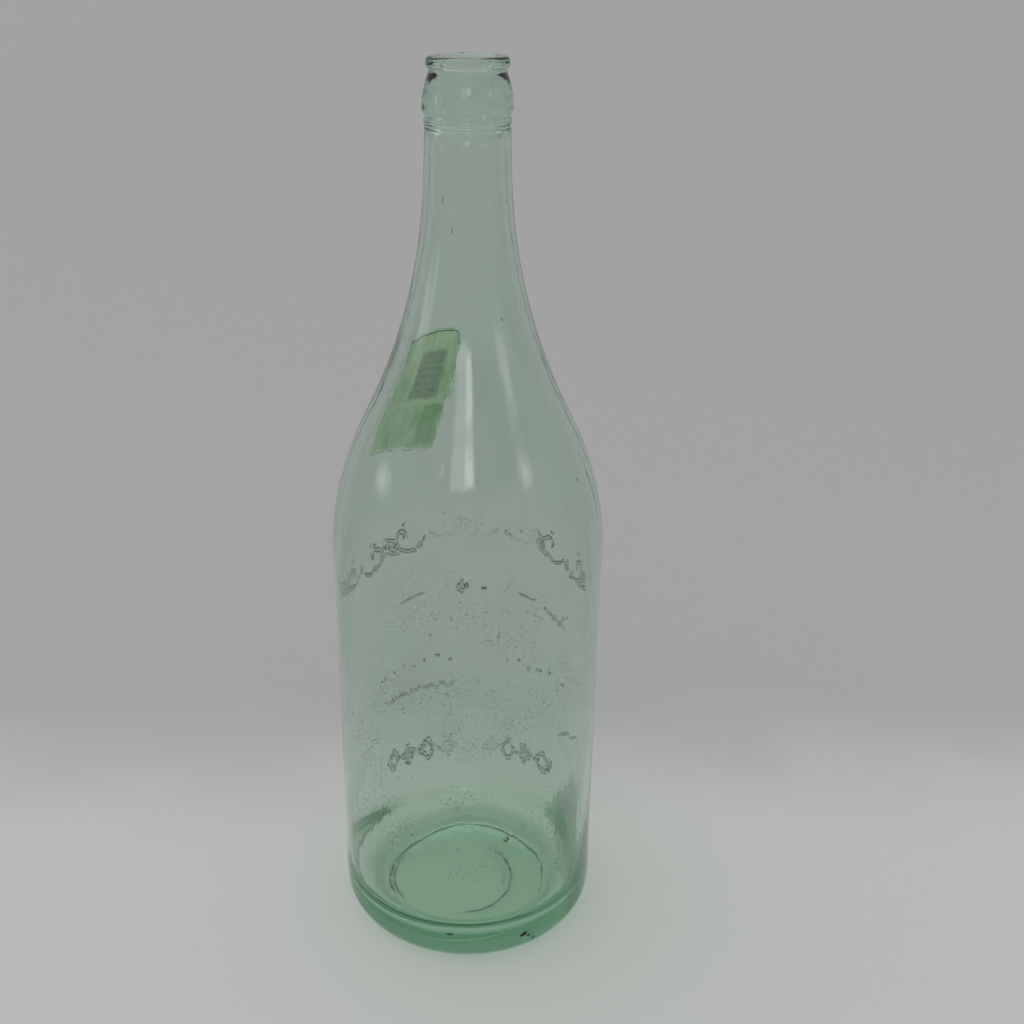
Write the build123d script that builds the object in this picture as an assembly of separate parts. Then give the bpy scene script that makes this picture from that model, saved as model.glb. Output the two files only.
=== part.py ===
from build123d import *
import os
from math import asin, cos, degrees, radians, sin, sqrt, tan

# A quart soda bottle of pale green glass, made in one piece with a crown finish, and what is left
# of a paper strip label gummed to its shoulder. Millimetres. The bottle stands on z = 0 with its
# axis on +Z. Its decorated front faces +Y, and the label lies on the shoulder towards -X of it.

# Driving dimensions of the outside
total_height = 305.0
body_radius = 46.65
body_top = 142.0
shoulder_radius = 110.0
shoulder_lean = 26.0
shoulder_straight = 8.9
sweep_radius = 180.0
neck_lean = 2.0

# Base and heel
heel_radius = 10.2
heel_turn = 86.0
flare_radius = 172.0
bearing_width = 3.5
push_up = 3.0
push_up_share = 0.85
scar_radius = 20.5
scar_width = 1.2
scar_depth = 0.3
scar_off_axis = 4.0
scar_direction = -150.0

# Inside
body_wall = 3.5
floor_height = 8.5
floor_dome = 1.2
floor_blend = 13.0
bore_radius = 8.0
bore_length = 14.0
mouth_rounding = 1.2

# Crown finish: radii, and depths below the top of the lip
lip_radius = 12.7
lip_rounding = 1.5
lip_land = 1.0
undercut_radius = 11.95
undercut_hollow = 0.15
undercut_top_depth = 3.5
undercut_end_depth = 4.9
bulge_radius = 13.95
bulge_depth = 14.7
ring_radius = 13.4
ring_root_radius = 12.95
ring_top_depth = 17.2
ring_end_depth = 19.6

# Paper label, and the dried gum that holds it. The label hangs askew: its corners, one of them
# cut off, are angles in degrees from +Y towards -X and heights, anticlockwise as seen from outside.
label_corners = [(72.0, 217.5), (8.5, 217.0), (4.2, 212.5), (18.9, 165.0), (66.0, 173.5)]
label_spare = 6.0
gum_thickness = 0.06
paper_thickness = 0.12
gum_margin = 0.8


def on_circle(centre, radius, angle):
    """A point of the (r, z) half plane on a circle, at an angle in degrees from +r."""
    return centre[0] + radius * cos(radians(angle)), centre[1] + radius * sin(radians(angle))


def arc(centre, radius, start, end):
    """An arc about a centre from one angle to another, in degrees."""
    angles = (start, (start + end) / 2, end)
    return ThreePointArc(*[on_circle(centre, radius, angle) for angle in angles])


def s_curve(start, end, share, heading):
    """Two tangent arcs that leave and arrive along one heading, and meet at a share of the way."""
    meeting = tuple(a + share * (b - a) for a, b in zip(start, end))
    first = TangentArc(start, meeting, tangent=heading)
    return [first, TangentArc(meeting, end, tangent=first % 1)]


# Centres and ends that follow from the driving dimensions
shoulder_centre = (body_radius - shoulder_radius, body_top)
convex_end = on_circle(shoulder_centre, shoulder_radius, shoulder_lean)
concave_start = (
    convex_end[0] - shoulder_straight * sin(radians(shoulder_lean)),
    convex_end[1] + shoulder_straight * cos(radians(shoulder_lean)),
)
sweep_centre = on_circle(concave_start, sweep_radius, shoulder_lean)

flare_angle = 90 - heel_turn
heel_end_radius = body_radius - flare_radius * (1 - cos(radians(flare_angle)))
bearing_outer = heel_end_radius - heel_radius * cos(radians(flare_angle))
bearing_inner = bearing_outer - bearing_width
heel_top = heel_radius * (1 - sin(radians(flare_angle)))
flare_top = heel_top + flare_radius * sin(radians(flare_angle))
push_up_radius = push_up_share * (bearing_inner**2 + push_up**2) / (2 * push_up)


def shoulder_outline(offset, low_lean, high_lean):
    """The shoulder, offset outwards, from a lean on its convex arc to a lean on its sweep."""
    convex = arc(shoulder_centre, shoulder_radius + offset, low_lean, shoulder_lean)
    concave_arc_radius = sweep_radius - offset
    concave = arc(sweep_centre, concave_arc_radius, 180 + shoulder_lean, 180 + high_lean)
    return [convex, Line(convex @ 1, concave @ 0), concave]


def base_outline():
    """The underside, from the axis out over the bearing ring, and the heel up to the straight wall."""
    hollow = s_curve((0, push_up), (bearing_inner, 0), push_up_share, (1, 0))
    bearing = Line((bearing_inner, 0), (bearing_outer, 0))
    heel = arc((bearing_outer, heel_radius), heel_radius, -90, -flare_angle)
    flare = arc((body_radius - flare_radius, flare_top), flare_radius, -flare_angle, 0)
    return [*hollow, bearing, heel, flare]


def finish_outline(neck_end):
    """The crown finish, from the end of the neck up over the lip to the top of the bore."""
    ring_end = (ring_root_radius, total_height - ring_top_depth)
    ring_middle = (ring_radius, total_height - (ring_top_depth + ring_end_depth) / 2)
    bulge = (bulge_radius, total_height - bulge_depth)
    undercut_low = (undercut_radius, total_height - undercut_end_depth)
    undercut_high = (undercut_radius, total_height - undercut_top_depth)
    undercut_middle = (
        undercut_radius - undercut_hollow,
        total_height - (undercut_end_depth + undercut_top_depth) / 2,
    )
    land_top = (lip_radius, total_height - lip_rounding)
    land_low = (lip_radius, land_top[1] - lip_land)
    lip_centre = (lip_radius - lip_rounding, land_top[1])
    mouth_centre = (bore_radius + mouth_rounding, total_height - mouth_rounding)
    lip = arc(lip_centre, lip_rounding, 0, 90)
    mouth = arc(mouth_centre, mouth_rounding, 90, 180)
    return [
        ThreePointArc(neck_end, ring_middle, ring_end),
        TangentArc(bulge, ring_end, tangent=(0, -1)),
        TangentArc(bulge, undercut_low, tangent=(0, 1)),
        ThreePointArc(undercut_low, undercut_middle, undercut_high),
        TangentArc(land_low, undercut_high, tangent=(0, -1)),
        Line(land_low, land_top),
        lip,
        Line(lip @ 1, mouth @ 0),
        mouth,
    ]


def inside_outline():
    """The inside, from the axis out over the floor and up the wall to the top of the bore."""
    wall_radius = body_radius - body_wall
    floor_edge = (wall_radius - floor_blend, floor_height)
    wall_low = floor_height + floor_blend
    floor = s_curve((0, floor_height + floor_dome), floor_edge, 0.5, (1, 0))
    blend = arc((floor_edge[0], wall_low), floor_blend, -90, 0)
    wall = Line((wall_radius, wall_low), (wall_radius, body_top))
    shoulder = shoulder_outline(-body_wall, 0, 0)
    neck_end = shoulder[-1] @ 1
    bore_top = total_height - mouth_rounding
    bore_low = bore_top - bore_length
    narrowing = s_curve((neck_end.X, neck_end.Y), (bore_radius, bore_low), 0.5, (0, 1))
    bore = Line((bore_radius, bore_low), (bore_radius, bore_top))
    return [*floor, blend, wall, *shoulder, *narrowing, bore]


def revolved(outline, degrees_round=360):
    """A solid of revolution about +Z from a closed outline in the (r, z) half plane."""
    face = Plane.XZ * Face(Wire(outline))
    return revolve(face, Axis.Z, degrees_round)


def scar():
    """The tool for the shallow circular groove, a little off the axis, left by the suction mould."""
    tube_radius = (scar_width**2 / 4 + scar_depth**2) / (2 * scar_depth)
    reach = sqrt(push_up_radius**2 - scar_radius**2)
    lean = degrees(asin(scar_off_axis / reach))
    dome_centre = Pos(0, 0, push_up - push_up_radius)
    aimed = dome_centre * Rot(0, 0, scar_direction) * Rot(0, lean, 0)
    return aimed * Pos(0, 0, reach + scar_depth - tube_radius) * Torus(scar_radius, tube_radius)


def bottle_glass():
    """The bottle: one piece of glass from the bearing ring to the lip, open at the mouth."""
    base = base_outline()
    shoulder = shoulder_outline(0, 0, neck_lean)
    wall = Line((body_radius, flare_top), (body_radius, body_top))
    neck_low = shoulder[-1] @ 1
    neck_height = total_height - ring_end_depth
    neck_end = (
        neck_low.X - (neck_height - neck_low.Y) * tan(radians(neck_lean)),
        neck_height,
    )
    neck = Line((neck_low.X, neck_low.Y), neck_end)
    inside = inside_outline()
    axis = Line((0, push_up), (0, floor_height + floor_dome))
    finish = finish_outline(neck_end)
    return revolved([*base, wall, *shoulder, neck, *finish, *inside, axis]) - scar()


def lean_at(height):
    """The shoulder's lean from upright, in degrees, at a height."""
    if height < convex_end[1]:
        return degrees(asin((height - body_top) / shoulder_radius))
    return degrees(asin((sweep_centre[1] - height) / sweep_radius))


def on_shoulder(angle, height):
    """A point on the shoulder, and the outward normal there."""
    lean = lean_at(height)
    if height < convex_end[1]:
        reach = on_circle(shoulder_centre, shoulder_radius, lean)[0]
    else:
        reach = on_circle(sweep_centre, sweep_radius, 180 + lean)[0]
    outward = Vector(cos(radians(lean)), 0, sin(radians(lean)))
    return Vector(reach, 0, height).rotate(Axis.Z, 90 + angle), outward.rotate(Axis.Z, 90 + angle)


def trimmed(layer, start, end, middle, margin):
    """A layer cut along the line between two corners, drawn in by a margin towards the middle."""
    first, first_out = on_shoulder(*start)
    second, second_out = on_shoulder(*end)
    inward = (second - first).cross(first_out + second_out).normalized()
    if inward.dot(middle - first) < 0:
        inward = -inward
    side = Plane(origin=first + inward * margin, x_dir=second - first, z_dir=inward)
    return split(layer, bisect_by=side, keep=Keep.TOP)


def label_layer(inner, outer, margin):
    """A skin with the label's outline between two offsets from the glass, drawn in by a margin."""
    angles, heights = zip(*label_corners)
    low_lean = lean_at(min(heights) - label_spare)
    high_lean = lean_at(max(heights) + label_spare)
    under = shoulder_outline(inner, low_lean, high_lean)
    over = shoulder_outline(outer, low_lean, high_lean)
    ends = [Line(under[-1] @ 1, over[-1] @ 1), Line(over[0] @ 0, under[0] @ 0)]
    first_angle = min(angles) - label_spare
    turn = max(angles) + label_spare - first_angle
    band = revolved([*under, ends[0], *reversed(over), ends[1]], turn)
    layer = Rot(0, 0, 90 + first_angle) * band
    middle = sum((on_shoulder(*corner)[0] for corner in label_corners), Vector())
    middle = middle / len(label_corners)
    for start, end in zip(label_corners, label_corners[1:] + label_corners[:1]):
        layer = trimmed(layer, start, end, middle, margin)
    return layer


def label_gum():
    """The film of dried gum, a little smaller than the paper all round."""
    return label_layer(0, gum_thickness, gum_margin)


def shoulder_label():
    """The paper strip, wrapped round the shoulder on its gum."""
    return label_layer(gum_thickness, gum_thickness + paper_thickness, 0)


parts = {
    "bottle_glass": bottle_glass(),
    "label_gum": label_gum(),
    "shoulder_label": shoulder_label(),
}
os.makedirs("parts", exist_ok=True)
for name, part in parts.items():
    export_step(part, f"parts/{name}.step")
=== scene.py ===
from math import atan, atan2, cos, degrees, hypot, pi, radians, sin, tan

import bmesh
import bpy
import numpy as np
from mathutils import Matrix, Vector


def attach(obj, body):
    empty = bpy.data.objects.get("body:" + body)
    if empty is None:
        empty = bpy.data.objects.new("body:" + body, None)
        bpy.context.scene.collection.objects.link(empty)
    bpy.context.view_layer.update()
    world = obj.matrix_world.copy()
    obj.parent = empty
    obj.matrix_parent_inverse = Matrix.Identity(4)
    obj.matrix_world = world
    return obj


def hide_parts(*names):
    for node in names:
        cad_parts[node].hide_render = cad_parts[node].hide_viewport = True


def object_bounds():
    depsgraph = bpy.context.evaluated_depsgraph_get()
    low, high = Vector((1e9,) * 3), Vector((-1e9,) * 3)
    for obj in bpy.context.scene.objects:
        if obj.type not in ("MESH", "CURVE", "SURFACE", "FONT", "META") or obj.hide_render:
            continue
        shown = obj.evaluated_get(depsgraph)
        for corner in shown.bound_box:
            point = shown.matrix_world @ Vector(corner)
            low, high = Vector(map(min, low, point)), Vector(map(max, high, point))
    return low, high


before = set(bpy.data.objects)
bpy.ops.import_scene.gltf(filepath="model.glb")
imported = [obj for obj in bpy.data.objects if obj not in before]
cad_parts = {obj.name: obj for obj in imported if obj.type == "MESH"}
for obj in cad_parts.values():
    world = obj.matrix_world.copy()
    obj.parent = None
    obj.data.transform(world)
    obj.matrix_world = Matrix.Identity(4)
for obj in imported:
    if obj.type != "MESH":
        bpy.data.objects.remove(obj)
cad_low, cad_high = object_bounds()

# Everything below is worked out in millimetres and turned into metres when a mesh is made.
# Azimuths are in degrees from +Y, the decorated front, towards +X. Polar angles are from +X towards +Y.
MM = 0.001

# ---------------------------------------------------------------- the bottle's dimensions
TOTAL_HEIGHT = cad_high.z / MM
BODY_RADIUS = cad_high.x / MM
BODY_TOP = 142.0
SHOULDER_RADIUS, SHOULDER_LEAN, SHOULDER_STRAIGHT = 110.0, 26.0, 8.9
SWEEP_RADIUS, NECK_LEAN = 180.0, 2.0
HEEL_RADIUS, HEEL_TURN, FLARE_RADIUS = 10.2, 86.0, 172.0
BEARING_WIDTH = 3.5
PUSH_UP, PUSH_UP_SHARE = 3.0, 0.85
WALL = 3.5
FLOOR_HEIGHT, FLOOR_DOME, FLOOR_BLEND = 8.5, 1.2, 13.0
BORE_RADIUS, BORE_LENGTH, MOUTH_ROUNDING = 8.0, 14.0, 1.2
LIP_RADIUS, LIP_ROUNDING, LIP_LAND = 12.7, 1.5, 1.0
UNDERCUT_RADIUS, UNDERCUT_HOLLOW, UNDERCUT_TOP, UNDERCUT_END = 11.95, 0.15, 3.5, 4.9
BULGE_RADIUS, BULGE_DEPTH = 13.95, 14.7
RING_RADIUS, RING_ROOT, RING_TOP, RING_END = 13.4, 12.95, 17.2, 19.6
# The scar under the base: its radius, and how far and at which polar angle its middle is off the axis.
SCAR_RADIUS, SCAR_OFF_AXIS, SCAR_DIRECTION = 20.5, 4.0, -150.0

# ---------------------------------------------------------------- how fine the glass mesh is
COLUMNS = 144
LEVELS = 3
FINE = 2**LEVELS
COARSE_ROW = 2.2


def rotated(vector, angle):
    """A plane vector turned left by an angle in radians."""
    x, y = vector
    return np.array((x * cos(angle) - y * sin(angle), x * sin(angle) + y * cos(angle)))


class Outline:
    """A path of arcs and lines in the (r, z) half plane, sampled at the finest rows as it is drawn."""

    def __init__(self, start):
        self.points = [np.array(start, float)]
        self.marks = {}

    def mark(self, name):
        """Names the row that the path has reached."""
        self.marks[name] = len(self.points) - 1

    def to(self, end, turn=0.0, row=COARSE_ROW):
        """Goes on to a point, turning left by so many degrees on the way, with rows that far apart."""
        start, end = self.points[-1], np.array(end, float)
        chord = end - start
        length = hypot(*chord)
        rows = max(1, round(length / row))
        shares = np.arange(1, rows * FINE + 1) / (rows * FINE)
        if turn == 0:
            self.points.extend(start + share * chord for share in shares)
            return self
        half = radians(turn) / 2
        left = np.array((-chord[1], chord[0])) / length
        centre = (start + end) / 2 + left * (length / 2) / tan(half)
        self.points.extend(centre + rotated(start - centre, 2 * half * share) for share in shares)
        return self

    def s_curve(self, end, share, turn, row=COARSE_ROW):
        """Two arcs that turn one way and back, and meet at a share of the way."""
        start = self.points[-1]
        meeting = start + share * (np.array(end, float) - start)
        return self.to(meeting, turn, row).to(end, -turn, row)


def circle_point(centre, radius, angle):
    """A point on a circle at an angle in degrees from +r."""
    return centre[0] + radius * cos(radians(angle)), centre[1] + radius * sin(radians(angle))


def arc_turn(chord, sagitta):
    """The turn, in degrees, of an arc over a chord that stands off it by a sagitta."""
    return degrees(4 * atan(2 * sagitta / chord))


def bend_turn(across, along):
    """The turn, in degrees, of an arc that starts or ends along one direction and goes so far across it."""
    return degrees(2 * atan2(across, along))


SHOULDER_CENTRE = (BODY_RADIUS - SHOULDER_RADIUS, BODY_TOP)


def sweep_centre():
    """The centre of the concave sweep from the shoulder to the neck."""
    low = circle_point(SHOULDER_CENTRE, SHOULDER_RADIUS, SHOULDER_LEAN)
    lean = radians(SHOULDER_LEAN)
    high = (low[0] - SHOULDER_STRAIGHT * sin(lean), low[1] + SHOULDER_STRAIGHT * cos(lean))
    return circle_point(high, SWEEP_RADIUS, SHOULDER_LEAN)


def shoulder_points(offset, end_lean):
    """The ends of the shoulder's arcs at an offset outwards: end of convex arc, start and end of sweep."""
    convex_end = circle_point(SHOULDER_CENTRE, SHOULDER_RADIUS + offset, SHOULDER_LEAN)
    centre, radius = sweep_centre(), SWEEP_RADIUS - offset
    starts = [circle_point(centre, radius, 180 + lean) for lean in (SHOULDER_LEAN, end_lean)]
    return convex_end, *starts


def draw_base(path):
    """The underside, the bearing ring, the heel and the straight wall."""
    flare_turn = 90 - HEEL_TURN
    heel_end = BODY_RADIUS - FLARE_RADIUS * (1 - cos(radians(flare_turn)))
    bearing_outer = heel_end - HEEL_RADIUS * cos(radians(flare_turn))
    bearing_inner = bearing_outer - BEARING_WIDTH
    heel_top = HEEL_RADIUS * (1 - sin(radians(flare_turn)))
    flare_top = heel_top + FLARE_RADIUS * sin(radians(flare_turn))
    path.s_curve((bearing_inner, 0), PUSH_UP_SHARE, -bend_turn(PUSH_UP, bearing_inner), 1.6)
    path.mark("bearing")
    path.to((bearing_outer, 0), row=1.2).to((heel_end, heel_top), HEEL_TURN, 0.9)
    path.mark("heel_top")
    path.to((BODY_RADIUS, flare_top), flare_turn)
    path.mark("wall_low")
    path.to((BODY_RADIUS, BODY_TOP))
    path.mark("wall_top")


def draw_shoulder_and_neck(path):
    """The outside from the top of the straight wall to the finish."""
    convex_end, sweep_start, sweep_end = shoulder_points(0, NECK_LEAN)
    path.to(convex_end, SHOULDER_LEAN).to(sweep_start)
    path.to(sweep_end, NECK_LEAN - SHOULDER_LEAN)
    neck_height = TOTAL_HEIGHT - RING_END
    rise = neck_height - sweep_end[1]
    path.to((sweep_end[0] - rise * tan(radians(NECK_LEAN)), neck_height), row=1.6)
    path.mark("finish")


def draw_finish(path):
    """The crown finish: ring, bulge, undercut and lip."""
    top = TOTAL_HEIGHT
    ring_height = RING_END - RING_TOP
    path.to((RING_ROOT, top - RING_TOP), arc_turn(ring_height, RING_RADIUS - RING_ROOT), 0.4)
    low = RING_TOP - BULGE_DEPTH
    path.to((BULGE_RADIUS, top - BULGE_DEPTH), bend_turn(BULGE_RADIUS - RING_ROOT, low), 0.7)
    high = BULGE_DEPTH - UNDERCUT_END
    turn = bend_turn(BULGE_RADIUS - UNDERCUT_RADIUS, high)
    path.to((UNDERCUT_RADIUS, top - UNDERCUT_END), turn, 1.0)
    hollow = UNDERCUT_END - UNDERCUT_TOP
    path.to((UNDERCUT_RADIUS, top - UNDERCUT_TOP), -arc_turn(hollow, UNDERCUT_HOLLOW), 0.35)
    land_low = top - LIP_ROUNDING - LIP_LAND
    turn = bend_turn(LIP_RADIUS - UNDERCUT_RADIUS, UNDERCUT_TOP - LIP_ROUNDING - LIP_LAND)
    path.to((LIP_RADIUS, land_low), turn, 0.35).to((LIP_RADIUS, top - LIP_ROUNDING), row=0.7)
    path.mark("lip")
    path.to((LIP_RADIUS - LIP_ROUNDING, top), 90, 0.45)
    path.to((BORE_RADIUS + MOUTH_ROUNDING, top), row=0.6)
    path.to((BORE_RADIUS, top - MOUTH_ROUNDING), 90, 0.4)
    path.mark("mouth")


def draw_inside(path):
    """The inside, from the mouth down to the middle of the floor."""
    wall_radius = BODY_RADIUS - WALL
    convex_end, sweep_start, sweep_end = shoulder_points(-WALL, 0)
    bore_low = TOTAL_HEIGHT - MOUTH_ROUNDING - BORE_LENGTH
    path.to((BORE_RADIUS, bore_low), row=1.8)
    narrowing = bend_turn(sweep_end[0] - BORE_RADIUS, bore_low - sweep_end[1])
    path.s_curve(sweep_end, 0.5, narrowing, 1.6)
    path.to(sweep_start, SHOULDER_LEAN, 3.0).to(convex_end, row=3.0)
    path.to((wall_radius, BODY_TOP), -SHOULDER_LEAN, 3.0)
    path.to((wall_radius, FLOOR_HEIGHT + FLOOR_BLEND), row=3.0)
    floor_edge = (wall_radius - FLOOR_BLEND, FLOOR_HEIGHT)
    path.to(floor_edge, -90, 1.1)
    floor_turn = -bend_turn(FLOOR_DOME, floor_edge[0])
    path.s_curve((0, FLOOR_HEIGHT + FLOOR_DOME), 0.5, floor_turn, 2.4)


def bottle_outline():
    """The closed outline of the glass, counterclockwise, from the axis below to the axis above the floor."""
    path = Outline((0, PUSH_UP))
    draw_base(path)
    draw_shoulder_and_neck(path)
    draw_finish(path)
    draw_inside(path)
    return path


outline = bottle_outline()
profile = np.array(outline.points)
tangents = np.gradient(profile, axis=0)
tangents /= np.linalg.norm(tangents, axis=1)[:, None]
normals = np.column_stack((tangents[:, 1], -tangents[:, 0]))
OUTSIDE_ROWS = outline.marks["mouth"]
FINE_ROWS = len(profile) - 1
FINE_COLUMNS = COLUMNS * FINE
UNDERSIDE_ROWS = np.arange(outline.marks["bearing"] + 1)
SIDE_ROWS = np.arange(outline.marks["bearing"], outline.marks["lip"])
WALL_LOW = outline.marks["wall_low"]
WALL_ROWS = outline.marks["wall_top"] - WALL_LOW
WALL_BOTTOM, WALL_TOP = profile[WALL_LOW, 1], profile[WALL_LOW + WALL_ROWS, 1]


def side_row(height):
    """The fine row of the outside at a height."""
    return np.interp(height, profile[SIDE_ROWS, 1], SIDE_ROWS)


def smooth(value, low, high):
    """0 below low, 1 above high, and a smooth step between, which may run downwards."""
    share = np.clip((np.asarray(value, float) - low) / (high - low), 0, 1)
    return share * share * (3 - 2 * share)


# ---------------------------------------------------------------- waves of hand-finished glass
class Waves:
    """The mean of a few seeded sine waves through space, which a stretch above 1 draws out upwards."""

    def __init__(self, seed, count, shortest, longest, stretch):
        draw = np.random.RandomState(seed)
        lengths = draw.uniform(shortest, longest, count)
        headings = draw.uniform(0, 2 * pi, count)
        tilts = draw.uniform(-1, 1, count)
        flat = 2 * pi / lengths
        rise = flat * tilts / stretch
        self.waves = np.column_stack((flat * np.cos(headings), flat * np.sin(headings), rise))
        self.phases = draw.uniform(0, 2 * pi, count)

    def __call__(self, points):
        """The mean at points in millimetres, between -1 and 1."""
        return np.sin(points @ self.waves.T + self.phases).mean(axis=-1)


OUTER_WAVES = Waves(seed=3, count=7, shortest=26, longest=90, stretch=2.6)
INNER_WAVES = Waves(seed=11, count=8, shortest=22, longest=80, stretch=3.0)
FINISH_WAVES = Waves(seed=17, count=9, shortest=5, longest=17, stretch=0.8)
OUTER_WAVE, INNER_WAVE, FINISH_WAVE = 0.055, 0.32, 0.11
# Heights over which the waves set in or die away.
OUTER_START, OUTER_STOP, INNER_STOP, FINISH_START = (4, 30), (283, 265), (284, 250), (276, 290)


def plain_point(row, column):
    """The place and the normal of the unworked surface at fine rows and columns."""
    angle = 2 * pi * np.asarray(column) / FINE_COLUMNS
    radius, height = profile[row].T
    across, up = normals[row].T
    places = np.column_stack((radius * np.cos(angle), radius * np.sin(angle), height))
    return places, np.column_stack((across * np.cos(angle), across * np.sin(angle), up))


CAVITY_SHIFT = 0.8
SHIFT_LOW, SHIFT_HIGH = 16.0, 75.0


def cavity_shift(row, height):
    """How far the hollow lies off the axis near the foot, where the glass settled thicker on one side."""
    return np.where(row < OUTSIDE_ROWS, 0, -CAVITY_SHIFT * smooth(height, SHIFT_HIGH, SHIFT_LOW))


def waviness(row, places):
    """How far the waves push the surface out. The outside is only ever pushed in."""
    height = places[:, 2]
    outer_share = smooth(height, *OUTER_START) * smooth(height, *OUTER_STOP)
    outer = OUTER_WAVE * (OUTER_WAVES(places) - 1) * outer_share
    inner = INNER_WAVE * INNER_WAVES(places) * smooth(height, *INNER_STOP)
    finish = FINISH_WAVE * (FINISH_WAVES(places) - 1) * smooth(height, *FINISH_START)
    return np.where(row < OUTSIDE_ROWS, outer, inner) + finish


# ---------------------------------------------------------------- the moulded ornament
# The second number is the relief slope at which the painted shade on the relief's flanks is full.
RELIEF_HEIGHT, FLANK_SHADE_SLOPE = 0.5, 0.5
FRONT_FROM, FRONT_TO = 86.0, 140.0
# Heights over which the front's recess, and the sinking of the whole side for the seams, start and stop.
FRONT_START, FRONT_STOP, SEAM_START, SEAM_STOP = (8, 26), (BODY_TOP + 8, BODY_TOP - 6), (3, 9), (283, 278)
relief = np.zeros((FINE_ROWS + 1, FINE_COLUMNS), np.float32)


def ridge(first, last, half_widths, height):
    """Raises the relief along one short straight run on the wall, between two (azimuth, height) points."""
    around = radians(1) * BODY_RADIUS
    start = np.array((first[0] * around, first[1]))
    end = np.array((last[0] * around, last[1]))
    reach = max(half_widths)
    column_width = 2 * pi * BODY_RADIUS / FINE_COLUMNS
    row_height = (WALL_TOP - WALL_BOTTOM) / WALL_ROWS
    low, high = np.minimum(start, end) - reach, np.maximum(start, end) + reach
    arcs = np.arange(low[0] // column_width, high[0] // column_width + 2).astype(int)
    first_row, last_row = ((edge[1] - WALL_BOTTOM) // row_height for edge in (low, high))
    rows = np.arange(first_row, last_row + 2).astype(int)
    across, up = np.meshgrid(arcs * column_width, WALL_BOTTOM + rows * row_height)
    run = end - start
    offset = np.stack((across - start[0], up - start[1]))
    share = np.clip((offset[0] * run[0] + offset[1] * run[1]) / max(run @ run, 1e-9), 0, 1)
    distance = np.hypot(offset[0] - share * run[0], offset[1] - share * run[1])
    half_width = half_widths[0] + share * (half_widths[1] - half_widths[0])
    rise = height * np.clip(1 - (distance / half_width) ** 2, 0, 1) ** 2
    columns = (FINE_COLUMNS // 4 - arcs) % FINE_COLUMNS
    place = np.ix_(WALL_LOW + rows, columns)
    relief[place] = np.maximum(relief[place], rise)


def stroke(points, half_width, height=RELIEF_HEIGHT, taper=0.45):
    """A ridge through (azimuth, height) points that narrows towards both ends."""
    points = np.array(points, float)
    shares = np.linspace(0, 1, len(points))
    widths = half_width * (taper + (1 - taper) * np.sin(pi * shares) ** 0.5)
    for first, last, width, next_width in zip(points, points[1:], widths, widths[1:]):
        ridge(first, last, (width, next_width), height)


def smooth_line(points, steps=7):
    """More points on a smooth line through a few (Catmull and Rom's way)."""
    points = np.array(points, float)
    ends = np.vstack((2 * points[0] - points[1], points, 2 * points[-1] - points[-2]))
    line = []
    for before, start, end, after in zip(ends, ends[1:], ends[2:], ends[3:]):
        for share in np.arange(steps) / steps:
            slope_in, slope_out = (end - before) / 2, (after - start) / 2
            cubic = 2 * (start - end) + slope_in + slope_out
            square = 3 * (end - start) - 2 * slope_in - slope_out
            line.append(start + share * (slope_in + share * (square + share * cubic)))
    return np.vstack((line, points[-1]))


class Motif:
    """A place on the wall for an ornament, with offsets in millimetres along the wall and up."""

    def __init__(self, azimuth, height, lean=0.0, scale=1.0):
        self.azimuth, self.height = azimuth, height
        self.lean, self.scale = radians(lean), scale

    def __call__(self, *offsets):
        """The (azimuth, height) points of some (along, up) offsets."""
        found = []
        for offset in offsets:
            along, up = self.scale * rotated(offset, self.lean)
            found.append((self.azimuth + degrees(along / BODY_RADIUS), self.height + up))
        return found


def volute(place, hand, height=RELIEF_HEIGHT):
    """A scroll that curls in on itself and trails off along the row."""
    curl = [
        (hand * (0.6 + spiral * cos(angle)), spiral * sin(angle) + 0.6)
        for angle, spiral in ((-0.5 * pi + 0.42 * step, 4.4 * 0.89**step) for step in range(15))
    ]
    tail = [(-hand * 6.8, -1.4), (-hand * 4.6, -3.6), (-hand * 1.8, -4.6)]
    stroke(smooth_line(place(*tail, *curl), 4), 1.2, height)


def leaf(place, start, tip, bulge, height=RELIEF_HEIGHT):
    """A pointed leaf between two offsets: two bowed sides and a rib."""
    start, tip = np.array(start, float), np.array(tip, float)
    middle, run = (start + tip) / 2, tip - start
    side = np.array((-run[1], run[0])) * bulge
    for bow in (side, -side):
        stroke(smooth_line(place(start, middle + bow, tip), 6), 1.05, height)
    stroke(smooth_line(place(start, middle + side * 0.15, tip - run * 0.2), 4), 0.6, 0.7 * height)


def lozenge(place, width, tall, height=RELIEF_HEIGHT):
    """A diamond outline."""
    corners = [(0, tall), (width, 0), (0, -tall), (-width, 0), (0, tall)]
    for first, last in zip(corners, corners[1:]):
        stroke(place(first, last), 1.0, height, taper=1)


def pellet(place, height=RELIEF_HEIGHT):
    """A small round dot."""
    stroke(place((-0.15, 0), (0.15, 0)), 0.95, height, taper=1)


# The scroll frieze: azimuth, height, lean in degrees and scale of each volute, paler in the middle.
FRIEZE = (
    (-75, 127.9, 10, 1.15), (-54, 127.2, 8, 1.2), (-33, 130.0, 6, 1.3), (-12, 132.4, 4, 0.9),
    (7, 132.4, 0, 0.95), (27, 131.6, -4, 1.0), (47, 130.2, -7, 1.2), (68, 128.0, -9, 1.25),
)
DOT_ROW, WAVY_ROW, FOOT_ROW = 74.0, 63.0, 33.5
DOT_AZIMUTHS = (*range(-50, -1, 7), *range(20, 56, 7))
WAVY_AZIMUTHS = range(-46, -8, 6)


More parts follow.
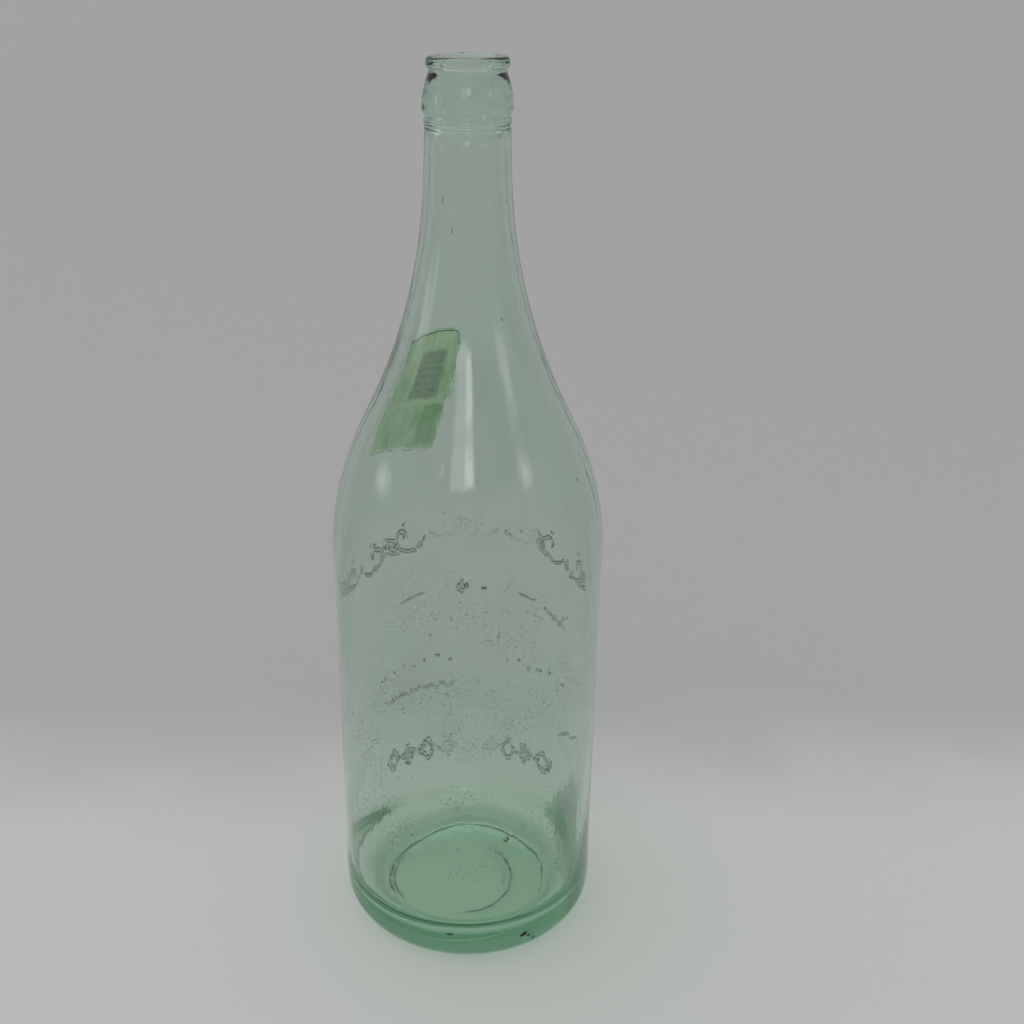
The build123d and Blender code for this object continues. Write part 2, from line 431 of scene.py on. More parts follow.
def upper_row():
    """The arched scroll frieze: volutes and leaves, bolder at both ends than in the middle."""
    for number, (azimuth, height, lean, scale) in enumerate(FRIEZE):
        place = Motif(azimuth, height, lean, scale)
        hand = 1 if number % 2 else -1
        faded = RELIEF_HEIGHT * (0.5 if abs(azimuth) < 30 else 1.0)
        volute(place, hand, faded)
        leaf(place, (hand * 2.4, -4.4), (hand * 7.4, 2.4), 0.2, faded)
        pellet(Motif(azimuth, height + 5.6, lean), faded)


def middle_rows():
    """A broken arc of dashes with a lozenge, a row of dots and a short wavy line."""
    stroke(Motif(-31, 104.5)((-5, -1.0), (0, 0), (5, 0.8)), 0.8)
    lozenge(Motif(-2, 105.5), 1.6, 2.6)
    pellet(Motif(8, 105.0))
    stroke(Motif(31, 104.6)((-4, 0.4), (4, -0.4)), 0.9)
    stroke(Motif(51, 101.5)((-6, 2.0), (0, 0.2), (6, -2.4)), 0.95)
    stroke(Motif(56, 102.0)((-2, -2.6), (2, 2.6)), 0.8)
    for azimuth in DOT_AZIMUTHS:
        number = (azimuth - DOT_AZIMUTHS[0]) // 7
        pellet(Motif(azimuth, DOT_ROW + 1.2 * (number % 3)), 0.75 * RELIEF_HEIGHT)
    for azimuth in WAVY_AZIMUTHS:
        swag = Motif(azimuth, WAVY_ROW)((-2.4, 1.0), (0, -1.0), (2.4, 1.0))
        stroke(smooth_line(swag, 4), 0.8, 0.6 * RELIEF_HEIGHT)


def flow_line():
    """A crooked flow line that the glass kept, low on one side."""
    line = Motif(64, 54.0)((-8, -3.6), (-3.5, 0.2), (1.5, 0.4), (6.5, 3.8))
    stroke(smooth_line(line), 0.7, 0.7 * RELIEF_HEIGHT)


def lower_row():
    """The band near the foot: lozenges between level leaves with pellets, fainter in the middle."""
    for azimuth in (-43, -22, 23, 44):
        lozenge(Motif(azimuth, FOOT_ROW), 3.2, 4.8)
    for azimuth in (-32.5, -11.5, 12.5, 33.5):
        height = RELIEF_HEIGHT * (0.6 if abs(azimuth) < 20 else 1.0)
        leaf(Motif(azimuth, FOOT_ROW), (-3.6, -0.9), (3.6, 0.9), 0.3, height)
        for rise in (-4.2, 4.2):
            pellet(Motif(azimuth, FOOT_ROW + rise), height)


SEAM_HEIGHT, SEAM_HALF_WIDTH = 0.07, 0.42
SCAR_HALF_WIDTH, SCAR_DEPTH = 0.6, 0.2
SCAR_MIDDLE = tuple(SCAR_OFF_AXIS * turn(radians(SCAR_DIRECTION)) for turn in (cos, sin))
PLATE_SEAM_RADIUS, PLATE_SEAM_SQUARENESS = 29.4, 0.012
PLATE_SEAM_HALF_WIDTH, PLATE_SEAM_DEPTH = 0.7, 0.12


def mould_seams():
    """Two fine ridges up the sides, from the heel to the finish, where the halves of the mould met."""
    low, high = outline.marks["heel_top"], outline.marks["finish"]
    column_width = 2 * pi * BODY_RADIUS / FINE_COLUMNS
    reach = int(SEAM_HALF_WIDTH / column_width) + 2
    for side in (0, FINE_COLUMNS // 2):
        for step in range(-reach, reach + 1):
            share = np.clip(1 - (step * column_width / SEAM_HALF_WIDTH) ** 2, 0, 1)
            column = (side + step) % FINE_COLUMNS
            relief[low:high, column] = np.maximum(relief[low:high, column], SEAM_HEIGHT * share)


def base_grooves():
    """Grooves under the base: the off-centre scar, and the seam round the mould's base plate."""
    rows = np.arange(1, outline.marks["bearing"])
    angle = 2 * pi * np.arange(FINE_COLUMNS) / FINE_COLUMNS
    radius = profile[rows, 0][:, None]
    across, away = radius * np.cos(angle) - SCAR_MIDDLE[0], radius * np.sin(angle) - SCAR_MIDDLE[1]
    off_scar = np.abs(np.hypot(across, away) - SCAR_RADIUS) / SCAR_HALF_WIDTH
    scar = SCAR_DEPTH * (0.62 + 0.38 * np.cos(np.arctan2(away, across) - radians(20)))
    seam_line = PLATE_SEAM_RADIUS * (1 + PLATE_SEAM_SQUARENESS * np.cos(4 * angle))
    off_seam = np.abs(radius - seam_line) / PLATE_SEAM_HALF_WIDTH
    grooves = (scar * np.clip(1 - off_scar**2, 0, 1), PLATE_SEAM_DEPTH * np.clip(1 - off_seam**2, 0, 1))
    relief[rows] = -np.maximum(*grooves).astype(np.float32)


upper_row()
middle_rows()
lower_row()
flow_line()
mould_seams()
base_grooves()


def recess(row, column):
    """How far the side lies below the plain surface, so that seams and ornament stay in the box."""
    azimuth = 90 - 360 * np.asarray(column) / FINE_COLUMNS
    azimuth = np.abs((azimuth + 180) % 360 - 180)
    height = profile[row, 1]
    faced = smooth(azimuth, FRONT_TO, FRONT_FROM)
    upright = smooth(height, *FRONT_START) * smooth(height, *FRONT_STOP)
    seam = SEAM_HEIGHT * smooth(height, *SEAM_START) * smooth(height, *SEAM_STOP)
    return np.where(row < OUTSIDE_ROWS, RELIEF_HEIGHT * faced * upright + seam, 0)


def surface(row, column):
    """Points of the finished glass in millimetres, at fine rows and columns, and their plain normals."""
    row, column = np.asarray(row), np.asarray(column)
    places, outward = plain_point(row, column)
    push = waviness(row, places) - recess(row, column) + relief[row, column % FINE_COLUMNS]
    points = places + outward * push[:, None]
    points[:, 0] += cavity_shift(row, places[:, 2])
    return points, outward


def relief_flank_shading():
    """How much painted shade lies on the flanks of the relief on the outside, from 0 to 1. It stands in for
    the dark edges that refraction draws along the ridges.
    """
    row_height = (WALL_TOP - WALL_BOTTOM) / WALL_ROWS
    column_width = 2 * pi * BODY_RADIUS / FINE_COLUMNS
    up, across = np.gradient(relief)
    steepness = np.hypot(up / row_height, across / column_width) / FLANK_SHADE_SLOPE
    steepness[: outline.marks["bearing"] + 1] = 0
    return smooth(steepness, 0.5, 1)


# ---------------------------------------------------------------- the glass mesh
def faces_by_size():
    """The first row, first column and size of each square of the surface, small where there is relief."""
    busy = np.abs(relief) > 1e-4
    detail = busy[:-1] | busy[1:]
    detail |= np.roll(detail, -1, axis=1)
    smallest = np.where(np.arange(FINE_ROWS) < outline.marks["bearing"], 2, 1)
    candidates = np.ones((FINE_ROWS // FINE, COLUMNS), bool)
    size = FINE
    while candidates.any():
        blocks = detail.reshape(FINE_ROWS // size, size, FINE_COLUMNS // size, size).any(axis=(1, 3))
        split = candidates & blocks & (size > smallest[::size])[:, None]
        for row, column in np.argwhere(candidates & ~split) * size:
            yield int(row), int(column), size
        candidates = np.repeat(np.repeat(split, 2, 0), 2, 1)
        size //= 2


def face_rims(squares):
    """The rim of each square, with the lattice points that smaller neighbours have on it."""
    used = np.zeros((FINE_ROWS + 1, FINE_COLUMNS + 1), bool)
    for row, column, size in squares:
        used[row : row + size + 1 : size, column : column + size + 1 : size] = True
    used[:, 0] |= used[:, -1]
    used[:, -1] = used[:, 0]
    for row, column, size in squares:
        top, right = row + size, column + size
        low_side = [(row, c) for c in column + np.flatnonzero(used[row, column:right])]
        right_side = [(r, right) for r in row + np.flatnonzero(used[row:top, right])]
        high_side = [(top, c) for c in right - np.flatnonzero(used[top, right:column:-1])]
        left_side = [(r, column) for r in top - np.flatnonzero(used[top:row:-1, column])]
        yield low_side + right_side + high_side + left_side


def lathe():
    """The vertices (row, column) and faces of the glass, closed, with one vertex at each pole."""
    squares = list(faces_by_size())
    numbers, lattice, faces = {}, [], []
    for rim in face_rims(squares):
        face = []
        for row, column in rim:
            at_pole = row in (0, FINE_ROWS)
            key = (int(row), 0 if at_pole else int(column) % FINE_COLUMNS)
            if key not in numbers:
                numbers[key] = len(lattice)
                lattice.append(key)
            if numbers[key] not in face:
                face.append(numbers[key])
        if len(face) > 2:
            faces.append(face)
    return np.array(lattice), faces


def joined(pieces):
    """Several (points, faces) as one."""
    points, faces = np.zeros((0, 3)), []
    for more_points, more_faces in pieces:
        faces += [[len(points) + corner for corner in face] for face in more_faces]
        points = np.vstack((points, more_points))
    return points, faces


def new_piece(name, points, faces, material):
    """A smooth mesh from points in millimetres, riding on the bottle."""
    mesh = bpy.data.meshes.new(name)
    mesh.from_pydata((np.asarray(points) * MM).tolist(), [], faces)
    mesh.update()
    mesh.shade_smooth()
    mesh.materials.append(material)
    piece = bpy.data.objects.new(name, mesh)
    bpy.context.scene.collection.objects.link(piece)
    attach(piece, "root")
    return piece


def ball(middle, radii, hollow):
    """The points and faces of a small ellipsoid. A hollow one faces inwards, as a bubble does."""
    mesh = bmesh.new()
    bmesh.ops.create_icosphere(mesh, subdivisions=2, radius=1)
    points = np.array([vertex.co for vertex in mesh.verts]) * radii + middle
    faces = [[vertex.index for vertex in face.verts] for face in mesh.faces]
    mesh.free()
    return points, [face[::-1] for face in faces] if hollow else faces


# Bubbles in the glass: azimuth, height, depth below the outside, half width and half height.
SEEDS = (
    (163.3, 54.6, 1.75, 1.05, 1.2), (-175.5, 51.8, 1.9, 0.35, 0.4), (-159.7, 256.0, 1.6, 0.22, 0.9),
    (-144.6, 265.0, 1.5, 0.2, 1.6), (119.2, 263.6, 1.4, 0.25, 0.5), (146.1, 229.4, 1.8, 0.3, 0.45),
    (118.1, 177.4, 2.0, 0.4, 0.5), (-120.0, 92.0, 1.9, 0.3, 0.5), (70.0, 158.0, 1.8, 0.35, 0.55),
)


def bubbles():
    """The points and inward faces of the seeds."""
    for azimuth, height, depth, half_width, half_height in SEEDS:
        radius = profile[int(side_row(height)), 0] - depth
        angle = radians(90 - azimuth)
        middle = (radius * cos(angle), radius * sin(angle), height)
        yield ball(middle, (half_width, half_width, half_height), hollow=True)


def make_glass():
    """The bottle's glass, with its ornament, its waves and its bubbles."""
    lattice, faces = lathe()
    rows, columns = lattice.T
    points, faces = joined([(surface(rows, columns)[0], faces), *bubbles()])
    glass = new_piece("bottle_glass_clear", points, faces, glass_material())
    # Painted shade on the relief's flanks, kept per vertex for the glass material.
    flank_shade_values = np.zeros(len(points))
    flank_shade_values[: len(lattice)] = relief_flank_shading()[rows, columns]
    glass.data.attributes.new("relief_flank_shade", "FLOAT", "POINT").data.foreach_set("value", flank_shade_values)
    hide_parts("bottle_glass")


# ---------------------------------------------------------------- materials
class Nodes:
    """A node tree, and short ways to add to it. A value is a number, a colour or another node's socket."""

    def __init__(self, tree):
        self.tree = tree

    def node(self, kind, inputs=(), **settings):
        """The outputs of a new node with its settings and its inputs."""
        made = self.tree.nodes.new(kind)
        for setting, value in settings.items():
            setattr(made, setting, value)
        for socket, value in dict(inputs).items():
            if isinstance(value, bpy.types.NodeSocket):
                self.tree.links.new(value, made.inputs[socket])
            else:
                made.inputs[socket].default_value = value
        return made.outputs

    def math(self, operation, *values):
        """One arithmetic step."""
        return self.node("ShaderNodeMath", dict(enumerate(values)), operation=operation)[0]

    def times(self, first, *others):
        """The product of some values."""
        for other in others:
            first = self.math("MULTIPLY", first, other)
        return first

    def vector_math(self, operation, *values):
        """One arithmetic step on vectors."""
        return self.node("ShaderNodeVectorMath", dict(enumerate(values)), operation=operation)

    def parts(self, vector):
        """The X, Y and Z of a vector."""
        return self.node("ShaderNodeSeparateXYZ", {"Vector": vector})

    def ramp(self, value, low, high, to_low=0.0, to_high=1.0, shape="SMOOTHSTEP"):
        """A value stretched from one range to another, with soft ends unless the shape is linear."""
        inputs = dict(enumerate((value, low, high, to_low, to_high)))
        return self.node("ShaderNodeMapRange", inputs, interpolation_type=shape)[0]

    def falling(self, value, low, high):
        """1 below a range and 0 above it, with soft ends."""
        return self.ramp(value, low, high, 1.0, 0.0)


class Shader(Nodes):
    """A new material with a Principled shader. Its coordinates are metres of object space."""

    def __init__(self, name, **values):
        self.material = bpy.data.materials.new(name)
        self.material.use_nodes = True
        super().__init__(self.material.node_tree)
        self.principled = self.tree.nodes["Principled BSDF"]
        self.output = self.tree.nodes["Material Output"]
        for socket, value in values.items():
            self.principled.inputs[socket.replace("_", " ")].default_value = value

    def link(self, value, socket):
        """Feeds a socket of the principled shader."""
        self.tree.links.new(value, self.principled.inputs[socket])

    def stretched(self, vector, scale):
        """A vector with each of its parts scaled."""
        return self.node("ShaderNodeMapping", {"Vector": vector, "Scale": scale})["Vector"]

    def place(self, scale=(1, 1, 1)):
        """Object coordinates, stretched."""
        return self.stretched(self.node("ShaderNodeTexCoord")["Object"], scale)

    def noise(self, scale, detail=4.0, vector=None):
        """Noise from 0 to 1 in object coordinates, unless another vector is given."""
        inputs = {"Vector": vector or self.place(), "Scale": scale, "Detail": detail, "Roughness": 0.55}
        return self.node("ShaderNodeTexNoise", inputs)["Fac"]

    def mix(self, share, first, second, blend="MIX"):
        """One colour laid over another."""
        inputs = {"Factor": share, 6: first, 7: second}
        return self.node("ShaderNodeMix", inputs, data_type="RGBA", blend_type=blend)[2]

    def bump(self, height, distance):
        """Fine relief on the principled shader's normal."""
        inputs = {"Height": height, "Distance": distance, "Strength": 1.0}
        self.link(self.node("ShaderNodeBump", inputs)["Normal"], "Normal")

    def let_light_through(self, passes):
        """Lets light that falls on things inside or behind go straight through, dimmed at each surface."""
        path = self.node("ShaderNodeLightPath")
        clear = self.node("ShaderNodeBsdfTransparent", {"Color": passes})[0]
        shown = self.principled.outputs[0]
        for ray in ("Is Diffuse Ray", "Is Shadow Ray"):
            shown = self.node("ShaderNodeMixShader", {0: path[ray], 1: shown, 2: clear})[0]
        self.tree.links.new(shown, self.output.inputs["Surface"])


# Glass. Heights, reaches and edges are in metres, from the foot or from the axis.
GLASS_SURFACE, GLASS_TINT, GLASS_DENSITY = (0.88, 0.935, 0.895, 1), (0.25, 0.7, 0.45, 1), 28.0
GLASS_PASSES, BASE_PASSES, BASE_PASSES_EDGE = (0.965, 0.97, 0.965, 1), (0.8, 0.92, 0.8, 1), (0.002, 0.012)
SCUFF_SCALE, SCUFF_LEVELS, SCUFF_ROUGHNESS, SCUFF_EDGE = 900, (0.62, 0.78), 0.16, (0.004, 0.014)
UNDERSIDE_ROUGHNESS, UNDERSIDE_EDGE, BASE_EDGE = 0.35, (0.0032, 0.005), (0.0335, 0.0365)
RIPPLE, RIPPLE_SCALE, RIPPLE_STRETCH = 0.00004, 260, (1, 1, 0.35)
STREAK, STREAK_SCALE, STREAK_STRETCH = 0.000025, 300, (1, 1, 0.05)
PEBBLE, PEBBLE_SCALE = 0.00006, 800
# A darker, pebbled patch low on the +X side: its colour, and the raggedness and scale of its front edge.
DARK_PATCH, DARK_PATCH_RAGGED, DARK_PATCH_SCALE = (0.3, 0.37, 0.32, 1), 0.012, 900
DARK_PATCH_HEIGHTS, DARK_PATCH_REACHES = (0.01, 0.057), (0.035, 0.0485)
DARK_PATCH_LOW_EDGE, DARK_PATCH_SOFTNESS = (0.003, 0.008), 0.0015
# One dark colour for the real dirt specks and for the painted shade on the relief and round the floor.
RESIDUE_AND_SHADE = (0.04, 0.055, 0.045, 1)
# A ring of painted shade round the floor's edge: its inner and outer radii, its heights and its strength.
SHADE_RING_INNER, SHADE_RING_OUTER, SHADE_RING_HEIGHTS, SHADE_RING_SHARE = (0.0305, 0.0335), (0.0345, 0.0375), (0.004, 0.03), 0.3
# Painted shade on the relief's flanks: the noise scale, levels and least share that break it up.
FLANK_SHADE_SCALE, FLANK_SHADE_LEVELS, FLANK_SHADE_SHARE = 1100, (0.32, 0.52), 0.3
SPECK_SCALE, SPECK_LEVELS, SPECK_SHARE = 1000, (0.59, 0.66), 0.6
CLOUD_SCALE, CLOUD_LEVELS = 45, (0.44, 0.58)
SPECKS_START, SPECKS_STOP = (0.03, 0.05), (0.09, 0.14)


def dark_patch(shader, height):
    """Where the glass is pebbled and darker: a patch low on the +X side with a ragged front edge."""
    reach = shader.ramp(height, *DARK_PATCH_HEIGHTS, *DARK_PATCH_REACHES)
    past = shader.math("SUBTRACT", shader.parts(shader.place())["X"], reach)
    ragged = shader.math("MULTIPLY_ADD", shader.noise(DARK_PATCH_SCALE, 3), DARK_PATCH_RAGGED, -DARK_PATCH_RAGGED / 2)
    patch = shader.ramp(shader.math("ADD", past, ragged), 0.0, DARK_PATCH_SOFTNESS)
    return shader.times(patch, shader.ramp(height, *DARK_PATCH_LOW_EDGE))


def residue_and_shade(shader, height, from_axis):
    """Where the glass is darkened: painted shade beside the relief and in a faint ring round the floor, and
    real dirt in specks.
    """
    # Painted shade on the relief's flanks, broken up by noise.
    relief_flank_shade = shader.node("ShaderNodeAttribute", attribute_name="relief_flank_shade")["Fac"]
    flank_shade_breakup = shader.ramp(shader.noise(FLANK_SHADE_SCALE, 3), *FLANK_SHADE_LEVELS, FLANK_SHADE_SHARE, 1.0)
    # Painted shade in a ring round the floor's edge, where the fillet darkens the view.
    shade_ring = shader.times(
        shader.ramp(from_axis, *SHADE_RING_INNER),
        shader.falling(from_axis, *SHADE_RING_OUTER),
        shader.ramp(height, *SHADE_RING_HEIGHTS, SHADE_RING_SHARE, 0.0),
    )
    scattered = shader.times(
        shader.ramp(shader.noise(SPECK_SCALE, 2), *SPECK_LEVELS, 0.0, SPECK_SHARE),
        shader.ramp(shader.noise(CLOUD_SCALE, 2), *CLOUD_LEVELS),
        shader.ramp(height, *SPECKS_START),
        shader.falling(height, *SPECKS_STOP),
    )
    most = shader.math("MAXIMUM", shade_ring, shader.times(relief_flank_shade, flank_shade_breakup))
    return shader.math("MAXIMUM", most, scattered)


def glass_material():
    """Pale green soda-lime glass: clear, a little worn on the heel, with dirt specks, and painted shade
    inside round the floor and in its relief.
    """
    shader = Shader("pale_green_glass", IOR=1.52, Roughness=0.0, Transmission_Weight=1.0)
    height = shader.parts(shader.place())["Z"]
    from_axis = shader.vector_math("LENGTH", shader.place((1, 1, 0)))["Value"]
    in_base = shader.falling(from_axis, *BASE_EDGE)
    scuffs = shader.ramp(shader.noise(SCUFF_SCALE, 3), *SCUFF_LEVELS, 0.0, SCUFF_ROUGHNESS)
    worn = shader.times(scuffs, shader.falling(height, *SCUFF_EDGE))
    underside = shader.times(UNDERSIDE_ROUGHNESS, shader.falling(height, *UNDERSIDE_EDGE), in_base)
    shader.link(shader.math("MAXIMUM", worn, underside), "Roughness")
    # The glass colour is darker in a pebbled patch low on the +X side.
    in_dark_patch = dark_patch(shader, height)
    clean = shader.mix(in_dark_patch, GLASS_SURFACE, DARK_PATCH)
    shader.link(shader.mix(residue_and_shade(shader, height, from_axis), clean, RESIDUE_AND_SHADE), "Base Color")
    ripples = shader.times(shader.noise(RIPPLE_SCALE, 2, shader.place(RIPPLE_STRETCH)), RIPPLE)
    streaks = shader.times(shader.noise(STREAK_SCALE, 3, shader.place(STREAK_STRETCH)), STREAK)
    pebbles = shader.times(shader.noise(PEBBLE_SCALE, 2), in_dark_patch, PEBBLE)
    shader.bump(shader.math("ADD", shader.math("ADD", ripples, streaks), pebbles), 1.0)
    absorbing = shader.node("ShaderNodeVolumeAbsorption", {"Color": GLASS_TINT, "Density": GLASS_DENSITY})
    shader.tree.links.new(absorbing[0], shader.output.inputs["Volume"])
    low_share = shader.times(shader.falling(height, *BASE_PASSES_EDGE), in_base)
    shader.let_light_through(shader.mix(low_share, GLASS_PASSES, BASE_PASSES))
    return shader.material


# ---------------------------------------------------------------- the label on the shoulder
GUM_THICKNESS, PAPER_THICKNESS = 0.06, 0.12
# The label's corners are (azimuth, height). Its left edge is the one nearer to the front.
LABEL_LOW_LEFT, LABEL_LOW_RIGHT = (-18.9, 165.0), (-66.0, 173.5)
LABEL_HIGH_LEFT, LABEL_HIGH_RIGHT = (-2.9, 217.0), (-72.0, 217.5)
LABEL_COLUMNS, LABEL_ROWS = 84, 76
LABEL_WIDTH, LABEL_HEIGHT, LABEL_CORNER = 32.0, 56.0, 6.5
GUM_MARGIN, GUM_LOW_MARGIN, GUM_TORN, GUM_GAP = 0.8, -0.9, 0.6, 0.004
CREASE_HEIGHT, CREASE_FROM = 0.35, 0.12
RAGGED = Waves(seed=21, count=9, shortest=2.2, longest=17, stretch=1)
CREASES = Waves(seed=5, count=9, shortest=5, longest=26, stretch=1)
TORN_MEAN, TORN_DEPTH, EDGES_APART = 0.55, 1.5, 40.0


def on_glass(azimuth, height, offset):
    """Points over the glass at azimuths and heights, that far off its surface."""
    row = np.round(side_row(height)).astype(int)
    column = np.round((90 - np.asarray(azimuth)) / 360 * FINE_COLUMNS).astype(int) % FINE_COLUMNS
    places, outward = surface(row, column)
    exact = radians(90) - np.radians(azimuth)
    radius = np.hypot(places[:, 0], places[:, 1])
    slope = np.hypot(outward[:, 0], outward[:, 1])
    radius = radius + (height - places[:, 2]) * -outward[:, 2] / slope + offset * slope
    return np.column_stack((radius * np.cos(exact), radius * np.sin(exact), height + offset * outward[:, 2]))


def ragged(along, edge):
    """How far a torn edge runs in from the straight one, in millimetres."""
    points = np.column_stack((along, np.full_like(along, EDGES_APART * edge), np.zeros_like(along)))
    return TORN_MEAN + TORN_DEPTH * RAGGED(points)


def rounded_corner(across, up):
    """Pulls the sharp high corner of the label's left edge in to a quarter circle."""
    from_left, from_top = across / LABEL_CORNER, (LABEL_HEIGHT - up) / LABEL_CORNER
    near = (from_left < 1) & (from_top < 1)
    x, y = 1 - from_left, 1 - from_top
    round_x = x * np.sqrt(1 - np.clip(y, 0, 1) ** 2 / 2)
    round_y = y * np.sqrt(1 - np.clip(x, 0, 1) ** 2 / 2)
    across = np.where(near, LABEL_CORNER * (1 - round_x), across)
    return across, np.where(near, LABEL_HEIGHT - LABEL_CORNER * (1 - round_y), up)


def sheet_points(margin, low_margin, torn):
    """The lattice of a layer of the label in its plane, in millimetres, in from the edge by a margin."""
    across, up = np.meshgrid(np.linspace(0, 1, LABEL_COLUMNS + 1), np.linspace(0, 1, LABEL_ROWS + 1))
    across, up = across.ravel(), up.ravel()
    left, right = (margin + torn * ragged(up * LABEL_HEIGHT, edge) for edge in (0, 1))
    low = low_margin + torn * ragged(across * LABEL_WIDTH, 2)
    high = margin + torn * ragged(across * LABEL_WIDTH, 3)
    across = left + across * (LABEL_WIDTH - left - right)
    up = low + up * (LABEL_HEIGHT - low - high)
    return rounded_corner(across, up)


def wrapped(across, up, offset):
    """Points of the label's plane laid on the shoulder, that far off the glass."""
    along, rise = across / LABEL_WIDTH, up / LABEL_HEIGHT
    low = [first + along * (last - first) for first, last in zip(LABEL_LOW_LEFT, LABEL_LOW_RIGHT)]
    high = [first + along * (last - first) for first, last in zip(LABEL_HIGH_LEFT, LABEL_HIGH_RIGHT)]
    azimuth, height = (first + rise * (last - first) for first, last in zip(low, high))
    return on_glass(azimuth, height, offset)


def layer(name, flat, inner, outer, material):
    """A thin closed sheet between two offsets from the glass, with a flat UV map in metres."""
    columns, rows = LABEL_COLUMNS + 1, LABEL_ROWS + 1
    count = columns * rows
    points = np.vstack((wrapped(*flat, inner), wrapped(*flat, outer)))
    faces = []
    for first in range(count - columns):
        if (first + 1) % columns:
            square = [first, first + 1, first + columns + 1, first + columns]
            faces += [[count + corner for corner in square], square[::-1]]
    lattice = np.arange(count).reshape(rows, columns)
    rim = [*lattice[0], *lattice[1:, -1], *lattice[-1, -2::-1], *lattice[-2:0:-1, 0]]
    rim = [int(corner) for corner in rim]
    for first, last in zip(rim, rim[1:] + rim[:1]):
        faces.append([first, last, count + last, count + first])
    piece = new_piece(name, points, faces, material)
    uv = piece.data.uv_layers.new(name="flat")
    flat_points = np.tile(np.column_stack(flat), (2, 1)) * MM
    corners = np.zeros(len(piece.data.loops), int)
    piece.data.loops.foreach_get("vertex_index", corners)
    uv.data.foreach_set("uv", flat_points[corners].ravel())
    return piece


def box_mask(shader, place, low, high, soft):
    """1 inside a rectangle of the label's plane, in millimetres, with soft edges."""
    sides = []
    for value, first, last in zip(place, low, high):
        sides.append(shader.ramp(value, (first - soft) * MM, (first + soft) * MM))
        sides.append(shader.falling(value, (last - soft) * MM, (last + soft) * MM))
    return shader.times(*sides)


LABEL_GREEN, LABEL_PALE, LABEL_YELLOW = (0.5, 0.72, 0.48, 1), (0.9, 0.95, 0.85, 1), (0.86, 0.93, 0.66, 1)
LABEL_DARK, LABEL_INK, LABEL_CREAM = (0.3, 0.38, 0.33, 1), (0.12, 0.17, 0.15, 1), (0.95, 0.93, 0.8, 1)
LABEL_LEAF_GREEN, LABEL_PRINT = (0.22, 0.55, 0.25, 1), (0.52, 0.62, 0.42, 1)
# Printed panels: low corner, high corner, softness, colour and strength.
LABEL_PANELS = (
    ((3.5, 23.5), (20, 48), 1.2, LABEL_YELLOW, 0.55),
    ((4.8, 24.5), (16.5, 46.5), 1.3, LABEL_DARK, 0.85),
    ((0, 21.5), (32, 23.6), 0.5, LABEL_PALE, 0.8),
    ((1.5, 12), (8, 21), 1.0, LABEL_LEAF_GREEN, 0.75),
    ((1.5, 3), (8, 12), 1.2, LABEL_DARK, 0.6),
    ((-2, -2), (34, 1.6), 0.5, LABEL_CREAM, 0.85),
)
DASHES_LOW, DASHES_HIGH, DASHES_SOFT, DASHES_SHARE = (5.5, 25), (17, 46), 0.6, 0.6
DASH_ROWS, DASH_ROW_LEVELS, DASH_STRETCH, DASH_LEVELS = 95.0, (0.45, 0.75), (900, 330, 1), (0.48, 0.6)
WANDER, WANDER_SCALE = (0.0024, 0.0024, 0), 160.0
FADING_SCALE, FADING_LEVELS = 110, (0.3, 0.75)
RUBBED_STRETCH, RUBBED_LEVELS, RUBBED_SHARE = (300, 14, 1), (0.46, 0.6), 0.75
PAPER_GRAIN, PAPER_GRAIN_SCALE = 0.00008, 700


def wandering(shader, flat):
    """The label's plane, bent a little so that printed edges aren't straight, as its X and Y."""
    noise = shader.node("ShaderNodeTexNoise", {"Vector": flat, "Scale": WANDER_SCALE, "Detail": 3.0})
    shift = shader.vector_math("SUBTRACT", noise["Color"], (0.5, 0.5, 0.5))[0]
    moved = shader.parts(shader.vector_math("MULTIPLY_ADD", shift, WANDER, flat)[0])
    return moved["X"], moved["Y"]


def dashes(shader, flat, place):
    """Rows of short broken dashes over the dark panel."""
    wave = {"Vector": flat, "Scale": DASH_ROWS, "Distortion": 0.0}
    rows = shader.node("ShaderNodeTexWave", wave, bands_direction="Y")["Fac"]
    broken = shader.noise(1.0, 2, shader.stretched(flat, DASH_STRETCH))
    return shader.times(
        shader.ramp(rows, *DASH_ROW_LEVELS),
        shader.ramp(broken, *DASH_LEVELS),
        box_mask(shader, place, DASHES_LOW, DASHES_HIGH, DASHES_SOFT),
        DASHES_SHARE,
    )


def label_material():
    """Faded green printing on thin paper, deeper on the side that faces out than on its back."""
    shader = Shader("faded_label_paper", Roughness=0.75)
    flat = shader.node("ShaderNodeUVMap", uv_map="flat")["UV"]
    place = wandering(shader, flat)
    fading = shader.ramp(shader.noise(FADING_SCALE, 4, flat), *FADING_LEVELS)
    colour = shader.mix(fading, LABEL_GREEN, LABEL_PALE)
    rubbed = shader.noise(1.0, 3, shader.stretched(flat, RUBBED_STRETCH))
    colour = shader.mix(shader.ramp(rubbed, *RUBBED_LEVELS, 0.0, RUBBED_SHARE), colour, LABEL_PALE)
    for low, high, soft, tone, share in LABEL_PANELS:
        colour = shader.mix(shader.times(box_mask(shader, place, low, high, soft), share), colour, tone)
    colour = shader.mix(dashes(shader, flat, place), colour, LABEL_INK)
    geometry = shader.node("ShaderNodeNewGeometry")
    outward = shader.vector_math("DOT_PRODUCT", geometry["Normal"], geometry["Position"])["Value"]
    printed = shader.mix(1.0, colour, LABEL_PRINT, "MULTIPLY")
    faces_out = shader.math("GREATER_THAN", outward, 0.0)
    shader.link(shader.mix(faces_out, colour, printed), "Base Color")
    shader.bump(shader.noise(PAPER_GRAIN_SCALE, 4, flat), PAPER_GRAIN)
    return shader.material


